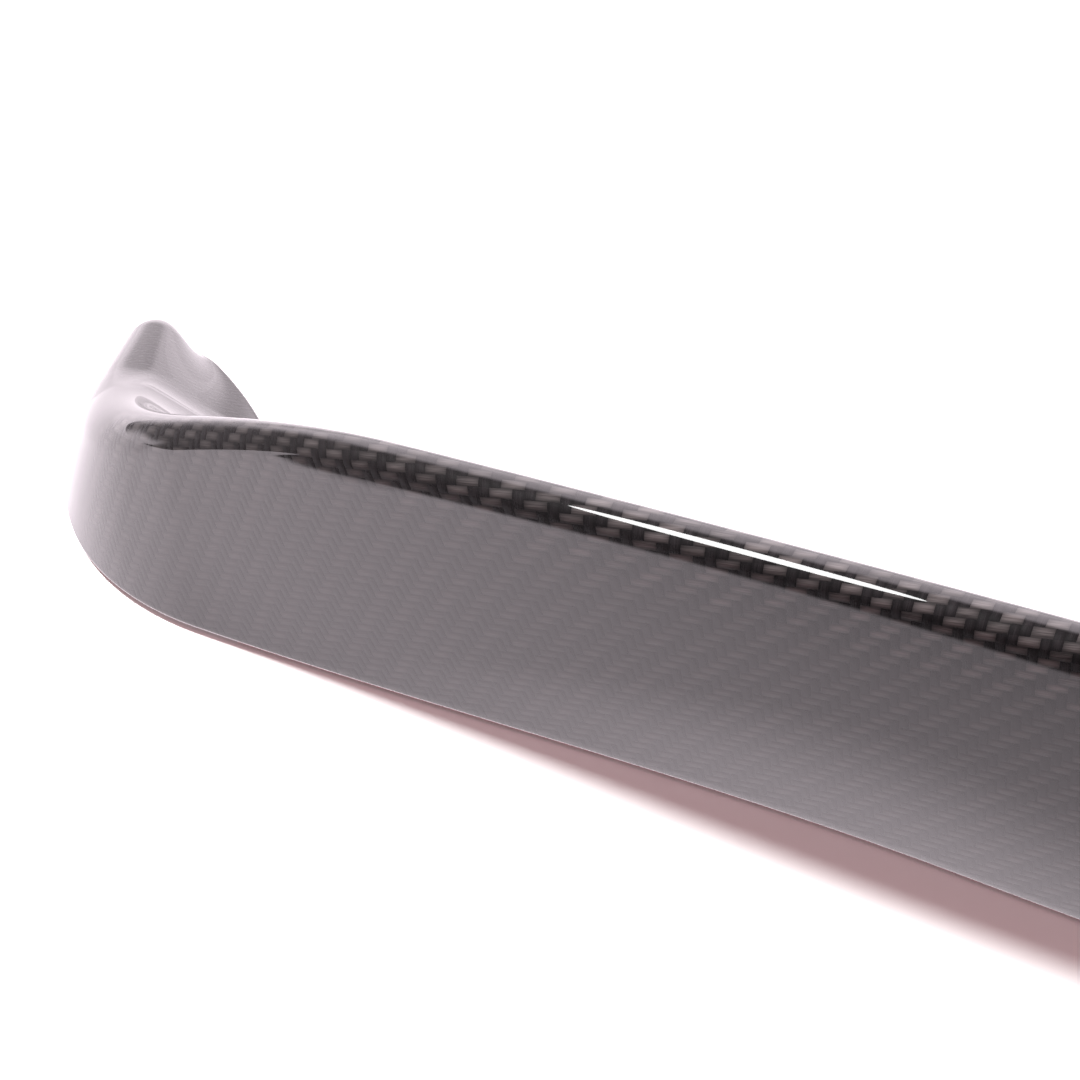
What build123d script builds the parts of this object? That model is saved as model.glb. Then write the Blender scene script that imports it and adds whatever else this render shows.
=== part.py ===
# Boot lid spoiler of moulded carbon fibre, with its foam mounting tape.
# X runs across the car, Y points to the front of the car, Z points up.
# The part lies on its release liners, as it does on a bench before it is fitted.
import os
from math import atan2, cos, degrees, radians, sin, sqrt, tan

from build123d import *

os.makedirs("parts", exist_ok=True)

# Plan line of the lip, from the middle of the car out to one tip
origin_setback = 111.47
middle_radius = 1187
middle_sweep = 14
flank_radius = 3630
flank_sweep = 4.5
corner_radius = 80
corner_sweep = 61.5
arm_length = 53

# Length of the sections, from the lip forwards to the front edge
chord = 86
corner_chord = 59
tip_chord = 9
taper = 2.2
fan_share = 0.85

# Height of the lip
lip_height = 93.4
crown_drop = 27
end_drop = 26.2
end_drop_before = 60
end_drop_after = 5

# Section of the shell
wall = 2.4
lip_radius = 4.5
ridge_radius = 12
lip_setback = 6.5
ridge_setback = 3
overhang = 12
arm_flare = 10
flare_before = 195
flare_after = 65
turn_before = 60
lip_slope = 66
ridge_slope = 42
front_slope = 18
dish_pull = 0.4
face_bow = 4
edge_height = 2.5
slim_share = 0.3
low_share = 0.4
nose_length = 18
nose_cut = 0.5
tip_hollow = 0.08
solid_before = 25

# Mounting lands under the shell, and the tape on them
land = 13
flange_thickness = 2.6
tape_width = 10
tape_thickness = 1.2
liner_thickness = 0.25
bond_gap = 0.05
rear_tape_stop = 150
front_tape_stop = 80

# Cross-sections along each stretch of the lip, over one half
middle_steps = 10
flank_steps = 10
corner_steps = 11
arm_steps = 8

stand_off = bond_gap + tape_thickness + liner_thickness
tape_margin = (land - tape_width) / 2

with BuildLine() as lip_plan:
    middle = JernArc((0, -origin_setback), (1, 0), middle_radius, middle_sweep)
    flank = JernArc(middle @ 1, middle % 1, flank_radius, flank_sweep)
    corner = JernArc(flank @ 1, flank % 1, corner_radius, corner_sweep)
    arm = Line(corner @ 1, corner @ 1 + (corner % 1) * arm_length)

lip_wire = lip_plan.wire()
corner_start = middle.length + flank.length
corner_end = corner_start + corner.length
tip = lip_wire.length


# Rises smoothly from 0 to 1 between two distances
def ease(distance, start, end):
    share = min(max((distance - start) / (end - start), 0), 1)
    return share * share * (3 - 2 * share)


# One cross-section of the shell, at a distance along the lip from the middle.
# The side is 1 on the right half and -1 on the left half.
class Station:
    def __init__(self, distance, side=1):
        lip_point = lip_wire.position_at(distance, position_mode=PositionMode.LENGTH)
        lip_heading = lip_wire.tangent_at(distance, position_mode=PositionMode.LENGTH)
        fan = fan_share * atan2(lip_heading.Y, lip_heading.X)
        forwards = Vector(-sin(fan), cos(fan), 0)
        self.plane = Plane(
            (side * lip_point.X, lip_point.Y, 0),
            x_dir=(side * forwards.X, forwards.Y, 0),
            z_dir=(forwards.Y, -side * forwards.X, 0),
        )
        narrowing = ease(distance, 0, corner_start)
        tapering = max((distance - corner_start) / (tip - corner_start), 0) ** taper
        self.chord = chord - (chord - corner_chord) * narrowing - (corner_chord - tip_chord) * tapering
        flare = ease(distance, corner_start - flare_before, corner_start + flare_after)
        self.foot = overhang - (overhang + arm_flare) * flare
        self.slim = slim_share * (self.chord - self.foot)
        crown = crown_drop * (distance / corner_start) ** 3
        end_fall = ease(distance, corner_start - end_drop_before, corner_end + end_drop_after)
        self.height = lip_height - crown - end_drop * end_fall - stand_off
        turn = ease(distance, corner_start - turn_before, corner_end)
        rounding = lip_radius + (ridge_radius - lip_radius) * turn
        self.radius = min(rounding, self.slim, low_share * self.height)
        self.slope = lip_slope + (ridge_slope - lip_slope) * turn
        self.setback = lip_setback + (ridge_setback - lip_setback) * turn
        self.nose = sqrt(1 - max((distance - tip + nose_length) / nose_length, 0) ** 2)
        closing = ease(distance, corner_end - solid_before, tip - nose_length)
        self.hollow = self.nose * (1 - (1 - tip_hollow) * closing)

    # A point of the section, drawn in by a share towards the middle of its base
    def place(self, point, share):
        base_middle = (self.foot + self.chord) / 2
        return (base_middle + (point.X - base_middle) * share, stand_off + point.Y * share)


# A cubic curve between two points and headings, with a handle of the given length at each end
def blend(start, start_heading, start_pull, end, end_heading, end_pull):
    return [start, start + start_heading * start_pull, end - end_heading * end_pull, end]


# The two halves of a cubic curve
def halves(curve):
    first = [(a + b) / 2 for a, b in zip(curve, curve[1:])]
    second = [(a + b) / 2 for a, b in zip(first, first[1:])]
    middle = (second[0] + second[1]) / 2
    return [curve[0], first[0], second[0], middle], [middle, second[1], first[2], curve[3]]


def heading(angle):
    return Vector(cos(radians(angle)), sin(radians(angle)))


# One side of the wall: dish, front and rear of the lip, and rear face, from front to rear.
# The inset is the distance in from the outer side, and a cut shortens that end of the line.
def wall_side(station, share, inset=0, front_cut=0, rear_cut=0):
    centre = Vector(station.radius - station.setback, station.height - station.radius)
    foot = Vector(station.foot, 0)
    front = Vector(station.chord, edge_height)
    lean = degrees(atan2(foot.X - centre.X + station.radius, centre.Y)) - face_bow
    lip_start = 90 - station.slope
    lip_turn = 90 + lean + station.slope
    front_heading = heading(180 - front_slope)
    foot_heading = heading(270 + lean + 2 * face_bow)

    radius = station.radius - inset
    angles = [lip_start + lip_turn * part for part in (0, 0.5, 1)]
    rim = [centre + heading(angle) * radius for angle in angles]
    along = [heading(angle + 90) for angle in angles]
    pull = radius * 4 / 3 * tan(radians(lip_turn / 8))
    lip_front = blend(rim[0], along[0], pull, rim[1], along[1], pull)
    lip_rear = blend(rim[1], along[1], pull, rim[2], along[2], pull)

    dish_length = (rim[0] - front).length
    face_length = (foot - rim[2]).length
    front_cut = min(front_cut, dish_pull * dish_length / 2)
    rear_cut = min(rear_cut, face_length / 6)
    front = front + front_heading * front_cut + heading(270 - front_slope) * inset
    foot = foot - foot_heading * rear_cut + heading(lean + 2 * face_bow) * inset
    dish_handle = dish_pull * dish_length
    face_handle = face_length / 3
    dish = blend(front, front_heading, dish_handle - front_cut, rim[0], along[0], dish_handle)
    face = blend(rim[2], along[2], face_handle, foot, foot_heading, face_handle - rear_cut)
    curves = [*halves(dish), lip_front, lip_rear, face]
    return [Bezier(*[station.place(point, share) for point in curve]) for curve in curves]


# The wall of the shell in one section, with a flat land for the tape along each edge
def shell_section(station):
    with BuildLine(mode=Mode.PRIVATE):
        outer = wall_side(station, station.nose)
        inner = wall_side(station, station.hollow, wall, land, flange_thickness)
        mouth_rear = station.place(Vector(station.foot + min(land, station.slim), 0), station.hollow)
        flange_rear = (mouth_rear[0], (inner[-1] @ 1).Y)
        mouth_front = ((inner[0] @ 0).X, stand_off)
        front_bottom = station.place(Vector(station.chord, 0), station.nose)
        rear_lines = [
            Line(outer[-1] @ 1, mouth_rear),
            Line(mouth_rear, flange_rear),
            Line(flange_rear, inner[-1] @ 1),
        ]
        front_lines = [
            Line(inner[0] @ 0, mouth_front),
            Line(mouth_front, front_bottom),
            Line(front_bottom, outer[0] @ 0),
        ]
    outline = [*outer[1:], *rear_lines, *reversed(inner), *front_lines, outer[0]]
    return station.plane * make_face(outline)


# Distances along one stretch of the lip, in equal steps, without its start
def spaced(start, length, steps):
    return [start + length * step / steps for step in range(1, steps + 1)]


half_distances = spaced(0, middle.length, middle_steps)
half_distances += spaced(middle.length, flank.length, flank_steps)
half_distances += spaced(corner_start, corner.length, corner_steps)
half_distances += spaced(corner_end, arm_length - nose_cut, arm_steps)


# The sections of both halves, from the left end to the right end
def stations_along(distances):
    left_half = [Station(distance, -1) for distance in reversed(distances)]
    return left_half + [Station(0)] + [Station(distance) for distance in distances]


# The outline of a flat strip under one edge of the shell, in the middle of that edge's land.
# It ends at the same distance short of both tips.
def strip_outline(edge, stop):
    end = tip - stop
    taped = [distance for distance in half_distances if distance < end - tape_width]
    rear_points = []
    front_points = []
    for station in stations_along(taped + [end]):
        rear_side = station.foot + tape_margin
        if edge == "front":
            rear_side = station.chord - tape_margin - tape_width
        rear_points.append(station.plane.from_local_coords((rear_side, 0)))
        front_points.append(station.plane.from_local_coords((rear_side + tape_width, 0)))
    with BuildLine(mode=Mode.PRIVATE):
        rear_line = Spline(*rear_points)
        front_line = Spline(*front_points)
        end_lines = [Line(rear_line @ part, front_line @ part) for part in (0, 1)]
    return make_face([rear_line, front_line, *end_lines])


shell_sections = [shell_section(station) for station in stations_along(half_distances)]
rear_strip = strip_outline("rear", rear_tape_stop)
front_strip = strip_outline("front", front_tape_stop)

with BuildPart() as spoiler_shell:
    loft(shell_sections, ruled=True)

with BuildPart() as rear_tape:
    extrude(Plane.XY.offset(liner_thickness) * rear_strip, amount=tape_thickness, dir=(0, 0, 1))

with BuildPart() as rear_liner:
    extrude(rear_strip, amount=liner_thickness, dir=(0, 0, 1))

with BuildPart() as front_tape:
    extrude(Plane.XY.offset(liner_thickness) * front_strip, amount=tape_thickness, dir=(0, 0, 1))

with BuildPart() as front_liner:
    extrude(front_strip, amount=liner_thickness, dir=(0, 0, 1))

spoiler_shell.part.label = "spoiler_shell"
rear_tape.part.label = "rear_tape"
front_tape.part.label = "front_tape"
rear_liner.part.label = "rear_liner"
front_liner.part.label = "front_liner"

export_step(spoiler_shell.part, "parts/spoiler_shell.step")
export_step(rear_tape.part, "parts/rear_tape.step")
export_step(front_tape.part, "parts/front_tape.step")
export_step(rear_liner.part, "parts/rear_liner.step")
export_step(front_liner.part, "parts/front_liner.step")
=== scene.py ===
from math import atan2, cos, degrees, pi, radians, sin, sqrt

import bpy
import numpy as np
from mathutils import Matrix, Vector


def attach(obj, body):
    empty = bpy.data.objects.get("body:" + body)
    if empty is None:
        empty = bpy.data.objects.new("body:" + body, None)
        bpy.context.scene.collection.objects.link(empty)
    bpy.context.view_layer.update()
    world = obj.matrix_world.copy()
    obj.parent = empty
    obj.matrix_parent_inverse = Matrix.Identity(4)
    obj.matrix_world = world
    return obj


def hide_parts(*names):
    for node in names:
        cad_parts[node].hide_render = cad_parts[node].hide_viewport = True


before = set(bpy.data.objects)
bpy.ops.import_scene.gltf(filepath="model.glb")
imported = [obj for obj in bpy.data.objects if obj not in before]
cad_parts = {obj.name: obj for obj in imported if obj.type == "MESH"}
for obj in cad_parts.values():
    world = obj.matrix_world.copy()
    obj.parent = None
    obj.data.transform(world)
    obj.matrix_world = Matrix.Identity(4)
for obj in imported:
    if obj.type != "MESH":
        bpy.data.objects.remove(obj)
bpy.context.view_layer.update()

millimetre = 0.001


# Shell of the spoiler, in millimetres and degrees. Each half runs from the middle out to one tip.
shellSizes = {
    "originSetback": 111.47,  # from the middle of the lip line to the origin
    "lipArcs": [(1187, 14), (3630, 4.5), (80, 61.5)],  # radius and sweep, seen from above
    "armLength": 53,
    "chord": 86,  # from the lip line to the front edge
    "cornerChord": 59,
    "tipChord": 9,
    "taper": 2.2,
    "fanShare": 0.85,  # how far the sections turn with the lip
    "standOff": 1.5,
    "lipHeight": 93.4,
    "crownDrop": 27,
    "endDrop": 26.2,
    "endDropBefore": 60,
    "endDropAfter": 5,
    "wall": 2.4,
    "lipRadius": 4.5,
    "ridgeRadius": 12,
    "lipSetback": 6.5,
    "ridgeSetback": 3,
    "overhang": 12,
    "armFlare": 10,
    "flareBefore": 195,
    "flareAfter": 65,
    "turnBefore": 60,
    "lipSlope": 66,
    "ridgeSlope": 42,
    "frontSlope": 18,
    "dishPull": 0.4,
    "faceBow": 4,
    "edgeHeight": 2.5,
    "edgeRound": 0.9,
    "edgePull": 0.45,
    "slimShare": 0.3,
    "lowShare": 0.4,
    "noseLength": 18,
    "noseCut": 0.05,
    "tipHollow": 0.08,
    "solidBefore": 25,
    "land": 13,
    "flange": 2.6,
    "rowsPerStretch": (40, 60, 60, 50),
    "outerSteps": (26, 16, 24),  # dish, lip and rear face
    "innerSteps": (14, 8, 8),
    "edgeSteps": 4,
    "frontEdgeSteps": 3,
    "sharpAngle": 40,
}

# Cloth of the shell: tows per millimetre, how the weave leans towards the ends,
# and where a painted shade flattens the weave into one dark colour. Ranges are distances from the middle
# in millimetres.
clothSizes = {
    "acrossTows": 0.48,
    "alongTows": 0.465,
    "sagAtEnd": 0.148,
    "sagDistance": 550,
    "shearAtEnd": 0.185,
    "shearRange": (400, 550),
    "paintedShadeRange": (560, 640),
    "lipPaintedShadeRange": (430, 590),
    "lipPaintedShade": 0.6,
    "facePaintedShade": 0.62,
    "paintedShadeColumns": 5,  # mesh columns from the lip to the full calm of the face
}

lipArcLengths = [radius * radians(sweep) for radius, sweep in shellSizes["lipArcs"]]
cornerStart = lipArcLengths[0] + lipArcLengths[1]
cornerEnd = cornerStart + lipArcLengths[2]
tipDistance = cornerEnd + shellSizes["armLength"]


def ease(value, start, end):
    share = min(max((value - start) / (end - start), 0), 1)
    return share * share * (3 - 2 * share)


# Place and heading at a distance along arcs that start at x = 0, heading along X
def alongArcs(arcs, y, distance):
    x = 0
    heading = 0
    for radius, sweep in arcs:
        turn = min(distance / radius, radians(sweep))
        x += radius * (sin(heading + turn) - sin(heading))
        y -= radius * (cos(heading + turn) - cos(heading))
        heading += turn
        distance -= radius * turn
    return x + distance * cos(heading), y + distance * sin(heading), heading


# Sizes of the section at a distance along the lip, by the same laws as the solid
def stationAt(distance):
    sizes = shellSizes
    x, y, heading = alongArcs(sizes["lipArcs"], -sizes["originSetback"], distance)
    fan = sizes["fanShare"] * heading
    narrowing = ease(distance, 0, cornerStart)
    tapering = max((distance - cornerStart) / (tipDistance - cornerStart), 0) ** sizes["taper"]
    chord = sizes["chord"] - (sizes["chord"] - sizes["cornerChord"]) * narrowing
    chord -= (sizes["cornerChord"] - sizes["tipChord"]) * tapering
    flare = ease(distance, cornerStart - sizes["flareBefore"], cornerStart + sizes["flareAfter"])
    foot = sizes["overhang"] - (sizes["overhang"] + sizes["armFlare"]) * flare
    slim = sizes["slimShare"] * (chord - foot)
    crown = sizes["crownDrop"] * (distance / cornerStart) ** 3
    endFall = ease(distance, cornerStart - sizes["endDropBefore"], cornerEnd + sizes["endDropAfter"])
    height = sizes["lipHeight"] - crown - sizes["endDrop"] * endFall - sizes["standOff"]
    turn = ease(distance, cornerStart - sizes["turnBefore"], cornerEnd)
    rounding = sizes["lipRadius"] + (sizes["ridgeRadius"] - sizes["lipRadius"]) * turn
    noseStart = tipDistance - sizes["noseLength"]
    nose = sqrt(1 - max((distance - noseStart) / sizes["noseLength"], 0) ** 2)
    closing = ease(distance, cornerEnd - sizes["solidBefore"], noseStart)
    return {
        "place": (x, y),
        "forwards": (-sin(fan), cos(fan)),
        "chord": chord,
        "foot": foot,
        "slim": slim,
        "height": height,
        "radius": min(rounding, slim, sizes["lowShare"] * height),
        "slope": sizes["lipSlope"] + (sizes["ridgeSlope"] - sizes["lipSlope"]) * turn,
        "setback": sizes["lipSetback"] + (sizes["ridgeSetback"] - sizes["lipSetback"]) * turn,
        "nose": nose,
        "hollow": nose * (1 - (1 - sizes["tipHollow"]) * closing),
    }


def towards(angle):
    return np.array([cos(radians(angle)), sin(radians(angle))])


def cubic(start, startPull, endPull, end, steps):
    t = np.linspace(0, 1, steps + 1)[:, None]
    s = 1 - t
    return s ** 3 * start + 3 * s ** 2 * t * startPull + 3 * s * t * t * endPull + t ** 3 * end


# One side of the wall, from the front edge over the dish and the lip down to the foot
def wallSide(station, inset, frontCut, rearCut, steps):
    sizes = shellSizes
    radius = station["radius"]
    centre = np.array([radius - station["setback"], station["height"] - radius])
    foot = np.array([station["foot"], 0.0])
    front = np.array([station["chord"], sizes["edgeHeight"]])
    lean = degrees(atan2(foot[0] - centre[0] + radius, centre[1])) - sizes["faceBow"]
    lipStart = 90 - station["slope"]
    lipEnd = 180 + lean
    frontHeading = towards(180 - sizes["frontSlope"])
    footHeading = towards(270 + lean + 2 * sizes["faceBow"])

    rimAngles = np.linspace(lipStart, lipEnd, steps[1] + 1)
    rim = [centre + towards(angle) * (radius - inset) for angle in rimAngles]
    dishLength = np.linalg.norm(rim[0] - front)
    faceLength = np.linalg.norm(rim[-1] - foot)
    frontCut = min(frontCut, sizes["dishPull"] * dishLength / 2)
    rearCut = min(rearCut, faceLength / 6)
    front = front + frontHeading * frontCut + towards(270 - sizes["frontSlope"]) * inset
    foot = foot - footHeading * rearCut + towards(lean + 2 * sizes["faceBow"]) * inset
    dishHandle = sizes["dishPull"] * dishLength
    faceHandle = faceLength / 3
    dishStart = front + frontHeading * (dishHandle - frontCut)
    dishEnd = rim[0] - towards(lipStart + 90) * dishHandle
    faceStart = rim[-1] + towards(lipEnd + 90) * faceHandle
    faceEnd = foot - footHeading * (faceHandle - rearCut)
    dish = cubic(front, dishStart, dishEnd, rim[0], steps[0])
    face = cubic(rim[-1], faceStart, faceEnd, foot, steps[2])
    return np.vstack([dish, rim[1:], face[1:]])


def roundedCorner(before, corner, after, reach, steps):
    pull = shellSizes["edgePull"]
    start = corner + (before - corner) / np.linalg.norm(before - corner) * reach
    end = corner + (after - corner) / np.linalg.norm(after - corner) * reach
    return cubic(start, corner + (start - corner) * pull, corner + (end - corner) * pull, end, steps)


# The outer line of a section with its rounded edges, and the line back along the underside
def sectionRing(station):
    sizes = shellSizes
    baseMiddle = np.array([(station["foot"] + station["chord"]) / 2, 0.0])

    def drawnIn(place, share):
        return baseMiddle + (np.array(place) - baseMiddle) * share

    outer = drawnIn(wallSide(station, 0, 0, 0, sizes["outerSteps"]), station["nose"])
    inner = wallSide(station, sizes["wall"], sizes["land"], sizes["flange"], sizes["innerSteps"])
    inner = drawnIn(inner, station["hollow"])
    mouthRear = drawnIn([station["foot"] + min(sizes["land"], station["slim"]), 0.0], station["hollow"])
    flangeRear = np.array([mouthRear[0], inner[-1][1]])
    mouthFront = np.array([inner[0][0], 0.0])
    frontBottom = drawnIn([station["chord"], 0.0], station["nose"])
    reach = sizes["edgeRound"] * station["nose"]
    footCorner = roundedCorner(outer[-2], outer[-1], mouthRear, reach, sizes["edgeSteps"])
    lowerFront = roundedCorner(mouthFront, frontBottom, outer[0], reach, sizes["frontEdgeSteps"])
    upperFront = roundedCorner(frontBottom, outer[0], outer[1], reach, sizes["frontEdgeSteps"])
    outerLine = np.vstack([upperFront, outer[1:-1], footCorner])
    underside = np.vstack([mouthRear, flangeRear, inner[::-1], mouthFront, lowerFront])
    return outerLine, underside


# Place on the cloth, in tows, of a point of the shell
def clothPlace(along, up):
    sizes = clothSizes
    sag = -sizes["sagAtEnd"] * along * along / (2 * sizes["sagDistance"])
    shear = -sizes["shearAtEnd"] * ease(abs(along), *sizes["shearRange"])
    shear = shear if along > 0 else -shear
    return sizes["acrossTows"] * along + shear * up, sag - sizes["alongTows"] * up


# How far each column of one section is flattened into the painted shade's dark colour
def paintedShadeShares(distance, faceStart, columns):
    sizes = clothSizes
    towardsEnd = ease(distance, *sizes["paintedShadeRange"])
    lipPaintedShade = sizes["lipPaintedShade"] * ease(distance, *sizes["lipPaintedShadeRange"])
    onFace = [ease(column, faceStart, faceStart + sizes["paintedShadeColumns"]) for column in range(columns)]
    return [max(towardsEnd, lipPaintedShade + (sizes["facePaintedShade"] - lipPaintedShade) * share) for share in onFace]


def shellMesh():
    sizes = shellSizes
    stretches = [*lipArcLengths, sizes["armLength"] - sizes["noseCut"]]
    distances = [0.0]
    for length, rows in zip(stretches, sizes["rowsPerStretch"]):
        distances += [distances[-1] + length * (row + 1) / rows for row in range(rows)]
    sections = {distance: stationAt(distance) for distance in distances}
    rings = {distance: sectionRing(station) for distance, station in sections.items()}
    places = [(-1, distance) for distance in reversed(distances[1:])]
    places += [(1, distance) for distance in distances]

    points = []
    cloth = []
    edgeHighlight = []
    paintedShade = []
    for side, distance in places:
        station = sections[distance]
        outerLine, underside = rings[distance]
        ring = np.vstack([outerLine, underside])
        count = len(ring)
        lengths = np.concatenate([[0], np.cumsum(np.linalg.norm(np.diff(ring, axis=0), axis=1))])
        heights = lengths[len(outerLine) - 1] - lengths
        edgeStart = len(outerLine) - sizes["edgeSteps"]
        # Painted highlight: the rounded foot edge gets a pale colour, standing in for the light it
        # catches.
        edgeHighlight += [1.0 if edgeStart <= column < len(outerLine) - 1 else 0.0 for column in range(count)]
        # Painted shade: how far the weave is flattened into one dark colour, on the rear face, along the
        # lip towards the corners and at the tips.
        paintedShade += paintedShadeShares(distance, edgeStart - sizes["outerSteps"][2], count)
        for (across, up), height in zip(ring, heights):
            x = station["place"][0] + station["forwards"][0] * across
            y = station["place"][1] + station["forwards"][1] * across
            z = up + sizes["standOff"]
            points.append((side * x * millimetre, y * millimetre, z * millimetre))
            cloth.append(clothPlace(side * distance, height))

    faces = []
    for row in range(len(places) - 1):
        for column in range(count):
            first = row * count + column
            second = row * count + (column + 1) % count
            faces.append((first, second, second + count, first + count))
    faces.append(tuple(range(count - 1, -1, -1)))
    faces.append(tuple(range((len(places) - 1) * count, len(places) * count)))

    mesh = bpy.data.meshes.new("spoilerShell")
    mesh.from_pydata(points, [], faces)
    layer = mesh.uv_layers.new(name="cloth")
    corners = np.empty(len(mesh.loops), dtype=np.int32)
    mesh.loops.foreach_get("vertex_index", corners)
    layer.data.foreach_set("uv", np.array(cloth)[corners].ravel())
    for name, values in (("edgeHighlight", edgeHighlight), ("paintedShade", paintedShade)):
        mesh.attributes.new(name, "FLOAT", "POINT").data.foreach_set("value", values)
    mesh.shade_smooth()
    mesh.set_sharp_from_angle(angle=radians(sizes["sharpAngle"]))
    mesh.update()
    return mesh


def addObject(name, data):
    added = bpy.data.objects.new(name, data)
    bpy.context.scene.collection.objects.link(added)
    return added


# Adds nodes to a tree, with their values and links
class NodeWriter:
    def __init__(self, tree):
        self.tree = tree

    def add(self, kind, **settings):
        node = self.tree.nodes.new(kind)
        for name, value in settings.items():
            setattr(node, name, value)
        return node

    def feed(self, socket, value):
        if isinstance(value, bpy.types.NodeSocket):
            self.tree.links.new(value, socket)
        else:
            socket.default_value = value

    def math(self, operation, *values):
        node = self.add("ShaderNodeMath", operation=operation)
        for socket, value in zip(node.inputs, values):
            self.feed(socket, value)
        return node.outputs[0]

    def mix(self, kind, factor, first, second, **settings):
        node = self.add("ShaderNodeMix", data_type=kind, **settings)
        for name, value in (("Factor", factor), ("A", first), ("B", second)):
            self.feed(node.inputs[name], value)
        return node.outputs["Result"]

    def mixShader(self, factor, first, second):
        node = self.add("ShaderNodeMixShader")
        for socket, value in zip(node.inputs, (factor, first, second)):
            self.feed(socket, value)
        return node.outputs[0]

    def split(self, vector):
        node = self.add("ShaderNodeSeparateXYZ")
        self.feed(node.inputs[0], vector)
        return node.outputs["X"], node.outputs["Y"], node.outputs["Z"]

    def joined(self, x, y):
        node = self.add("ShaderNodeCombineXYZ")
        self.feed(node.inputs["X"], x)
        self.feed(node.inputs["Y"], y)
        return node.outputs[0]

    def scaled(self, vector, factor):
        node = self.add("ShaderNodeVectorMath", operation="SCALE")
        self.feed(node.inputs[0], vector)
        self.feed(node.inputs["Scale"], factor)
        return node.outputs[0]

    # A value that goes smoothly from one number to another as its input crosses a range
    def fade(self, value, span, first, last):
        node = self.add("ShaderNodeMapRange", interpolation_type="SMOOTHSTEP")
        given = {"Value": value, "From Min": span[0], "From Max": span[1], "To Min": first, "To Max": last}
        for name, number in given.items():
            self.feed(node.inputs[name], number)
        return node.outputs["Result"]


# Carbon fibre laminate: tows of a 2x2 twill under a clear coat
laminateLook = {
    # Along tows are coloured lighter than across tows: a painted sheen of the fibres, not a colour of
    # their own.
    "alongSheenColour": (0.066, 0.061, 0.061, 1),
    "acrossColour": (0.011, 0.01, 0.011, 1),
    "twillRepeat": 4,
    "twillFloat": 2,  # tows that each tow passes over
    "towRound": 0.5,
    "towLow": 0.05,
    "towShade": 0.75,
    "streak": 1.8,
    "streakScales": (0.4, 9),  # along and across a tow
    "streakDetail": 3,
    "towSpread": 0.7,
    "leastTone": 0.15,
    "fibreRoughness": 0.5,
    "fibreSpecular": 0.12,
    "coatRoughness": 0.015,
    "coatIor": 1.6,
    "bumpStrength": 0.5,
    "bumpHeight": 0.0002,
    # Painted highlight on the rounded foot edge.
    "edgeHighlightColour": (0.6, 0.58, 0.59, 1),
    # Painted shade: one dark colour that flattens the weave and its painted sheen.
    "paintedShadeColour": (0.015, 0.014, 0.0145, 1),
}


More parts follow.
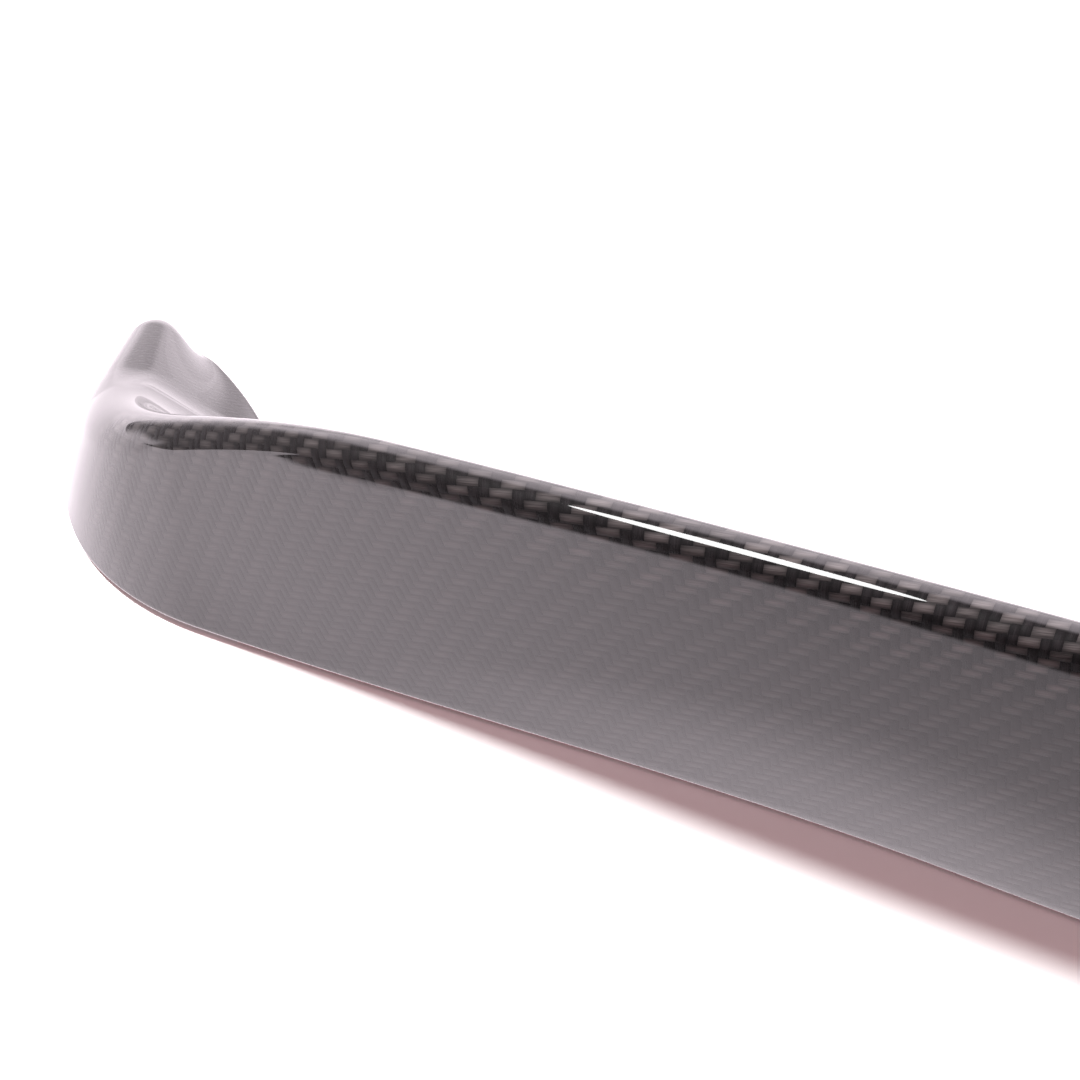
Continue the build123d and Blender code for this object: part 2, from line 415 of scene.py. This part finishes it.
def laminateMaterial():
    look = laminateLook
    material = bpy.data.materials.new("carbonLaminate")
    material.use_nodes = True
    writer = NodeWriter(material.node_tree)
    shader = material.node_tree.nodes["Principled BSDF"]
    across, down, _ = writer.split(writer.add("ShaderNodeUVMap", uv_map="cloth").outputs["UV"])
    repeat = look["twillRepeat"]
    passed = look["twillFloat"]

    column = writer.math("FLOOR", across)
    row = writer.math("FLOOR", down)
    diagonal = writer.math("ADD", column, row)
    alongRun = writer.math("FLOORED_MODULO", writer.math("ADD", across, row), repeat)
    downRun = writer.math("FLOORED_MODULO", writer.math("ADD", down, column), repeat)
    alongOnTop = writer.math("LESS_THAN", writer.math("FLOORED_MODULO", diagonal, repeat), passed)

    # A tow is round across its width, and dips where it goes under
    def towHeight(crossPlace, run, runMiddle):
        crown = writer.math("SINE", writer.math("MULTIPLY", writer.math("FRACT", crossPlace), pi))
        fromMiddle = writer.math("MULTIPLY", writer.math("SUBTRACT", run, runMiddle), pi / passed)
        rise = writer.math("MAXIMUM", writer.math("COSINE", fromMiddle), look["towLow"])
        return writer.math("MULTIPLY", crown, writer.math("POWER", rise, look["towRound"]))

    alongHeight = towHeight(down, alongRun, passed / 2)
    downHeight = towHeight(across, downRun, repeat - passed / 2)
    height = writer.mix("FLOAT", alongOnTop, downHeight, alongHeight)
    # Painted sheen: the tows along the span are lighter than those across it.
    colour = writer.mix("RGBA", alongOnTop, look["acrossColour"], look["alongSheenColour"])
    colour = writer.mix("RGBA", look["towShade"], colour, height, blend_type="MULTIPLY")

    # Fine streaks along each tow, and a tone of its own for each tow
    def streaks(acrossScale, downScale):
        noise = writer.add("ShaderNodeTexNoise", noise_dimensions="2D")
        stretchedAcross = writer.math("MULTIPLY", across, acrossScale)
        stretchedDown = writer.math("MULTIPLY", down, downScale)
        writer.feed(noise.inputs["Vector"], writer.joined(stretchedAcross, stretchedDown))
        writer.feed(noise.inputs["Scale"], 1)
        writer.feed(noise.inputs["Detail"], look["streakDetail"])
        return noise.outputs["Fac"]

    longScale, fineScale = look["streakScales"]
    alongStreaks = streaks(longScale, fineScale)
    downStreaks = streaks(fineScale, longScale)
    streak = writer.math("SUBTRACT", writer.mix("FLOAT", alongOnTop, downStreaks, alongStreaks), 0.5)
    towTone = writer.add("ShaderNodeTexWhiteNoise", noise_dimensions="2D")
    run = writer.math("FLOOR", writer.math("DIVIDE", diagonal, repeat))
    writer.feed(towTone.inputs["Vector"], writer.joined(run, row))
    spread = writer.math("SUBTRACT", towTone.outputs["Value"], 0.5)
    tone = writer.math("MULTIPLY_ADD", streak, look["streak"], 1)
    tone = writer.math("MULTIPLY_ADD", spread, look["towSpread"], tone)
    colour = writer.scaled(colour, writer.math("MAXIMUM", tone, look["leastTone"]))

    # Painted shade flattens the weave into one dark colour, and a painted highlight pales the foot edge.
    for name in ("paintedShade", "edgeHighlight"):
        share = writer.add("ShaderNodeAttribute", attribute_name=name).outputs["Fac"]
        colour = writer.mix("RGBA", share, colour, look[name + "Colour"])

    bump = writer.add("ShaderNodeBump")
    bump.inputs["Strength"].default_value = look["bumpStrength"]
    bump.inputs["Distance"].default_value = look["bumpHeight"]
    writer.feed(bump.inputs["Height"], height)
    writer.feed(shader.inputs["Normal"], bump.outputs["Normal"])
    writer.feed(shader.inputs["Base Color"], colour)
    shader.inputs["Roughness"].default_value = look["fibreRoughness"]
    shader.inputs["Specular IOR Level"].default_value = look["fibreSpecular"]
    shader.inputs["Coat Weight"].default_value = 1
    shader.inputs["Coat IOR"].default_value = look["coatIor"]
    shader.inputs["Coat Roughness"].default_value = look["coatRoughness"]
    return material


def plainMaterial(name, colour, roughness):
    material = bpy.data.materials.new(name)
    material.use_nodes = True
    shader = material.node_tree.nodes["Principled BSDF"]
    shader.inputs["Base Color"].default_value = colour
    shader.inputs["Roughness"].default_value = roughness
    return material


shell = addObject("shell", shellMesh())
shell.data.materials.append(laminateMaterial())
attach(shell, "root")
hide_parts("spoiler_shell")
print("shell made")


# Foam tape under both edges, and the release liner on it, in millimetres
tapeSizes = {
    "width": 9,
    "tapeThickness": 1.2,
    "linerThickness": 0.25,
    "rearStop": 150,  # how far short of the tips the strips end
    "frontStop": 80,
    "rows": 160,
    "foamColour": (0.03, 0.03, 0.033, 1),
    "foamRoughness": 0.9,
    "linerColour": (0.6, 0.03, 0.035, 1),
    "linerRoughness": 0.35,
}


# Sweeps a flat strip along a path
def stripTree():
    tree = bpy.data.node_groups.new("tapeStrip", "GeometryNodeTree")
    sockets = {"Path": "Geometry", "Width": "Float", "Thickness": "Float", "Material": "Material"}
    for name, kind in sockets.items():
        tree.interface.new_socket(name, in_out="INPUT", socket_type="NodeSocket" + kind)
    tree.interface.new_socket("Strip", in_out="OUTPUT", socket_type="NodeSocketGeometry")
    writer = NodeWriter(tree)
    given = writer.add("NodeGroupInput")
    curve = writer.add("GeometryNodeMeshToCurve")
    upright = writer.add("GeometryNodeSetCurveNormal", mode="Z_UP")
    profile = writer.add("GeometryNodeCurvePrimitiveQuadrilateral")
    sweep = writer.add("GeometryNodeCurveToMesh")
    real = writer.add("GeometryNodeRealizeInstances")
    coloured = writer.add("GeometryNodeSetMaterial")
    writer.feed(curve.inputs["Mesh"], given.outputs["Path"])
    writer.feed(upright.inputs["Curve"], curve.outputs["Curve"])
    writer.feed(profile.inputs["Width"], given.outputs["Width"])
    writer.feed(profile.inputs["Height"], given.outputs["Thickness"])
    writer.feed(sweep.inputs["Curve"], upright.outputs["Curve"])
    writer.feed(sweep.inputs["Profile Curve"], profile.outputs["Curve"])
    writer.feed(sweep.inputs["Fill Caps"], True)
    writer.feed(real.inputs["Geometry"], sweep.outputs["Mesh"])
    writer.feed(coloured.inputs["Geometry"], real.outputs["Geometry"])
    writer.feed(coloured.inputs["Material"], given.outputs["Material"])
    writer.feed(writer.add("NodeGroupOutput").inputs["Strip"], coloured.outputs["Geometry"])
    return tree


# The middle of the land along one edge of the shell
def stripPath(name, edge, height):
    margin = shellSizes["land"] / 2
    end = tipDistance - tapeSizes[edge + "Stop"]
    points = []
    for row in range(-tapeSizes["rows"], tapeSizes["rows"] + 1):
        station = stationAt(end * abs(row) / tapeSizes["rows"])
        across = station["chord"] - margin if edge == "front" else station["foot"] + margin
        x, y = np.array(station["place"]) + np.array(station["forwards"]) * across
        points.append(((x if row > 0 else -x) * millimetre, y * millimetre, height * millimetre))
    mesh = bpy.data.meshes.new(name)
    mesh.from_pydata(points, [(row, row + 1) for row in range(len(points) - 1)], [])
    return mesh


def addStrip(tree, name, edge, bottom, thickness, material):
    piece = addObject(name, stripPath(name, edge, bottom + thickness / 2))
    modifier = piece.modifiers.new("strip", "NODES")
    modifier.node_group = tree
    inputs = [socket for socket in tree.interface.items_tree if socket.in_out == "INPUT"]
    identifiers = {socket.name: socket.identifier for socket in inputs}
    modifier[identifiers["Width"]] = tapeSizes["width"] * millimetre
    modifier[identifiers["Thickness"]] = thickness * millimetre
    modifier[identifiers["Material"]] = material
    evaluated = piece.evaluated_get(bpy.context.evaluated_depsgraph_get())
    mesh = bpy.data.meshes.new_from_object(evaluated)
    piece.modifiers.clear()
    piece.data = mesh
    return piece


strips = stripTree()
foam = plainMaterial("foamTape", tapeSizes["foamColour"], tapeSizes["foamRoughness"])
liner = plainMaterial("releaseLiner", tapeSizes["linerColour"], tapeSizes["linerRoughness"])
for edge in ("rear", "front"):
    tapeBottom = tapeSizes["linerThickness"]
    tapePiece = addStrip(strips, edge + "Tape", edge, tapeBottom, tapeSizes["tapeThickness"], foam)
    linerPiece = addStrip(strips, edge + "Liner", edge, 0, tapeSizes["linerThickness"], liner)
    tapeRow = (tapePiece, edge + "_tape", "foam_tape")
    linerRow = (linerPiece, edge + "_liner", "release_liner")
    for piece, node, slot in (tapeRow, linerRow):
        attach(piece, "root")
        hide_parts(node)
print("tape made")


# White table, in metres. Mirrored rays see it glow, brighter in patches round the part.
tableLook = {
    "half": 6,
    "colour": (0.9, 0.9, 0.9, 1),
    "roughness": 0.6,
    "bounceColour": (0.25, 0.24, 0.24, 1),  # what diffuse rays see
    "whiteRange": (0.75, 1.1),  # from here on the camera sees plain white
    "glow": (1.13, 2.45),  # plain, and in the bright patches
    "tint": (1, 0.9, 0.965, 1),
    "besideRange": (0.38, 0.62),  # bright beside the ends
    "frontRange": (-0.03, 0.05),
    "outerRange": (0.615, 0.68),
    "outerShare": 0.45,
    "aheadRange": (0.15, 0.34),  # bright ahead of the part
    "aheadShare": 0.8,
    "edgeLine": (0.164, -0.1045),  # bright close to the rear edge: slope and start of its line
    "closeReach": 0.03,
    "closeShare": 0.6,
    "rearLine": (0.214, -0.1913),  # dark behind this line
    "rearSpread": 0.16,
    "rearReach": (0.585, 0.85),
    "rearBlur": (-0.003, 0.003),
    "rearDark": 0.05,
}


def tableMaterial():
    look = tableLook
    material = plainMaterial("whiteTable", look["colour"], look["roughness"])
    writer = NodeWriter(material.node_tree)
    shader = material.node_tree.nodes["Principled BSDF"]
    output = material.node_tree.nodes["Material Output"]
    rays = writer.add("ShaderNodeLightPath").outputs
    place = writer.add("ShaderNodeTexCoord").outputs["Object"]
    x, y, _ = writer.split(place)
    outward = writer.math("ABSOLUTE", x)

    beside = writer.fade(outward, look["besideRange"], 0, 1)
    beside = writer.math("MULTIPLY", beside, writer.fade(y, look["frontRange"], 1, 0))
    outer = writer.fade(outward, look["outerRange"], 0, look["outerShare"])
    ahead = writer.fade(y, look["aheadRange"], 0, look["aheadShare"])
    edgeLine = writer.math("MULTIPLY_ADD", outward, *look["edgeLine"])
    close = writer.fade(writer.math("SUBTRACT", edgeLine, y), (0, look["closeReach"]), 1, 0)
    close = writer.math("MULTIPLY", close, look["closeShare"])
    brighter = writer.math("MAXIMUM", writer.math("MAXIMUM", beside, outer), ahead)
    brighter = writer.math("MAXIMUM", brighter, close)
    plainGlow, brightGlow = look["glow"]
    glow = writer.math("MULTIPLY_ADD", brighter, brightGlow - plainGlow, plainGlow)

    past = writer.fade(outward, look["rearReach"], 0, 1)
    rearLine = writer.math("MULTIPLY_ADD", outward, *look["rearLine"])
    rearLine = writer.math("MULTIPLY_ADD", past, -look["rearSpread"], rearLine)
    onTable = writer.fade(writer.math("SUBTRACT", y, rearLine), look["rearBlur"], look["rearDark"], 1)
    mirrored = writer.add("ShaderNodeEmission")
    writer.feed(mirrored.inputs["Color"], look["tint"])
    writer.feed(mirrored.inputs["Strength"], writer.math("MULTIPLY", glow, onTable))

    bounce = writer.mix("RGBA", rays["Is Diffuse Ray"], look["colour"], look["bounceColour"])
    writer.feed(shader.inputs["Base Color"], bounce)
    shader.inputs["Specular IOR Level"].default_value = 0
    table = writer.mixShader(rays["Is Glossy Ray"], shader.outputs[0], mirrored.outputs[0])
    away = writer.add("ShaderNodeVectorMath", operation="LENGTH")
    writer.feed(away.inputs[0], place)
    far = writer.fade(away.outputs["Value"], look["whiteRange"], 0, 1)
    farSeen = writer.math("MULTIPLY", far, rays["Is Camera Ray"])
    white = writer.add("ShaderNodeEmission")
    writer.feed(output.inputs["Surface"], writer.mixShader(farSeen, table, white.outputs[0]))
    return material


half = tableLook["half"]
floorCorners = [(-half, -half, 0), (half, -half, 0), (half, half, 0), (-half, half, 0)]
floorMesh = bpy.data.meshes.new("floor")
floorMesh.from_pydata(floorCorners, [], [(0, 1, 2, 3)])
floor = addObject("floor", floorMesh)
floor.data.materials.append(tableMaterial())
print("table made")


# Studio round the table. Mirrored rays see a dark room with a glow ahead and beside;
# the ranges are parts of a direction's length along X, Y or Z.
roomLook = {
    "light": (0.855, 0.54, 0.563, 1),
    "seenColour": (1, 1, 1, 1),
    "dark": 0.16,
    "frontGlow": 1.25,
    "frontReach": (0.05, 0.4),
    "frontWidth": (0.6, 0.8),
    "horizonGlow": 0.6,
    "horizonRange": (0.02, 0.14),
    "upperGlow": 1.25,
    "upperRange": (0.18, 0.35),
    "sideGlow": 2,
    "sideWidth": (0.8, 0.95),
    "sideHeight": (0.04, 0.14),
    "sideStart": (-0.05, 0.1),
}


def studioWorld():
    look = roomLook
    world = bpy.data.worlds.new("studio")
    bpy.context.scene.world = world
    world.use_nodes = True
    writer = NodeWriter(world.node_tree)
    rays = writer.add("ShaderNodeLightPath").outputs
    x, ahead, height = writer.split(writer.add("ShaderNodeTexCoord").outputs["Generated"])
    sideways = writer.math("ABSOLUTE", x)

    atHorizon = look["frontGlow"] + look["horizonGlow"]
    front = writer.fade(height, look["horizonRange"], atHorizon, look["frontGlow"])
    front = writer.math("ADD", front, writer.fade(height, look["upperRange"], 0, look["upperGlow"]))
    front = writer.math("MULTIPLY", front, writer.fade(ahead, look["frontReach"], 0, 1))
    front = writer.math("MULTIPLY", front, writer.fade(sideways, look["frontWidth"], 1, 0))
    beside = writer.fade(sideways, look["sideWidth"], 0, look["sideGlow"])
    beside = writer.math("MULTIPLY", beside, writer.fade(height, look["sideHeight"], 1, 0))
    beside = writer.math("MULTIPLY", beside, writer.fade(ahead, look["sideStart"], 0, 1))
    glow = writer.math("ADD", writer.math("ADD", front, beside), look["dark"])
    mirrored = writer.scaled(tableLook["tint"][:3], glow)

    colour = writer.mix("RGBA", rays["Is Glossy Ray"], look["light"], mirrored)
    colour = writer.mix("RGBA", rays["Is Camera Ray"], colour, look["seenColour"])
    writer.feed(world.node_tree.nodes["Background"].inputs["Color"], colour)


studioWorld()


# The overhead lamp throws the shadow. The lacquer mirrors only the sheen lamp, along the lip.
lampSizes = {
    "overheadSize": (0.88, 0.5),
    "overheadPlace": (-1.71, 0.25, 2.4),
    "overheadTurn": -17,
    "overheadPower": 190,
    "sheenSize": (1.35, 0.82),
    "sheenPlace": (-2.3, -1.3, 2.4),
    "sheenAim": (-0.25, -0.08, 0.085),
    "sheenTurn": -53,
    "sheenPower": 50,
}


def addLamp(name, facing):
    light = bpy.data.lights.new(name + "Lamp", "AREA")
    light.shape = "ELLIPSE"
    light.size, light.size_y = lampSizes[name + "Size"]
    light.energy = lampSizes[name + "Power"]
    lamp = addObject(name + "Lamp", light)
    spin = Matrix.Rotation(radians(lampSizes[name + "Turn"]), 4, "Z")
    lamp.matrix_world = Matrix.Translation(lampSizes[name + "Place"]) @ facing @ spin
    return lamp


overhead = addLamp("overhead", Matrix.Identity(4))
overhead.visible_glossy = False
sheenAim = Vector(lampSizes["sheenAim"]) - Vector(lampSizes["sheenPlace"])
sheen = addLamp("sheen", sheenAim.to_track_quat("-Z", "Y").to_matrix().to_4x4())
sheen.visible_diffuse = False


# Camera at the photograph's place, in metres and degrees
cameraSizes = {
    "place": (-0.36164, -0.40226, 0.34858),
    "turn": 15.782,
    "tilt": 36.266,  # down from level
    "roll": -0.912,
    "lens": 76.53,
}

cameraData = bpy.data.cameras.new("camera")
cameraData.lens = cameraSizes["lens"]
camera = addObject("camera", cameraData)
turn = Matrix.Rotation(radians(cameraSizes["turn"]), 4, "Z")
tilt = Matrix.Rotation(radians(90 - cameraSizes["tilt"]), 4, "X")
roll = Matrix.Rotation(radians(cameraSizes["roll"]), 4, "Z")
camera.matrix_world = Matrix.Translation(cameraSizes["place"]) @ turn @ tilt @ roll
bpy.context.scene.camera = camera
bpy.context.scene.view_settings.view_transform = "Standard"
print("stage made")
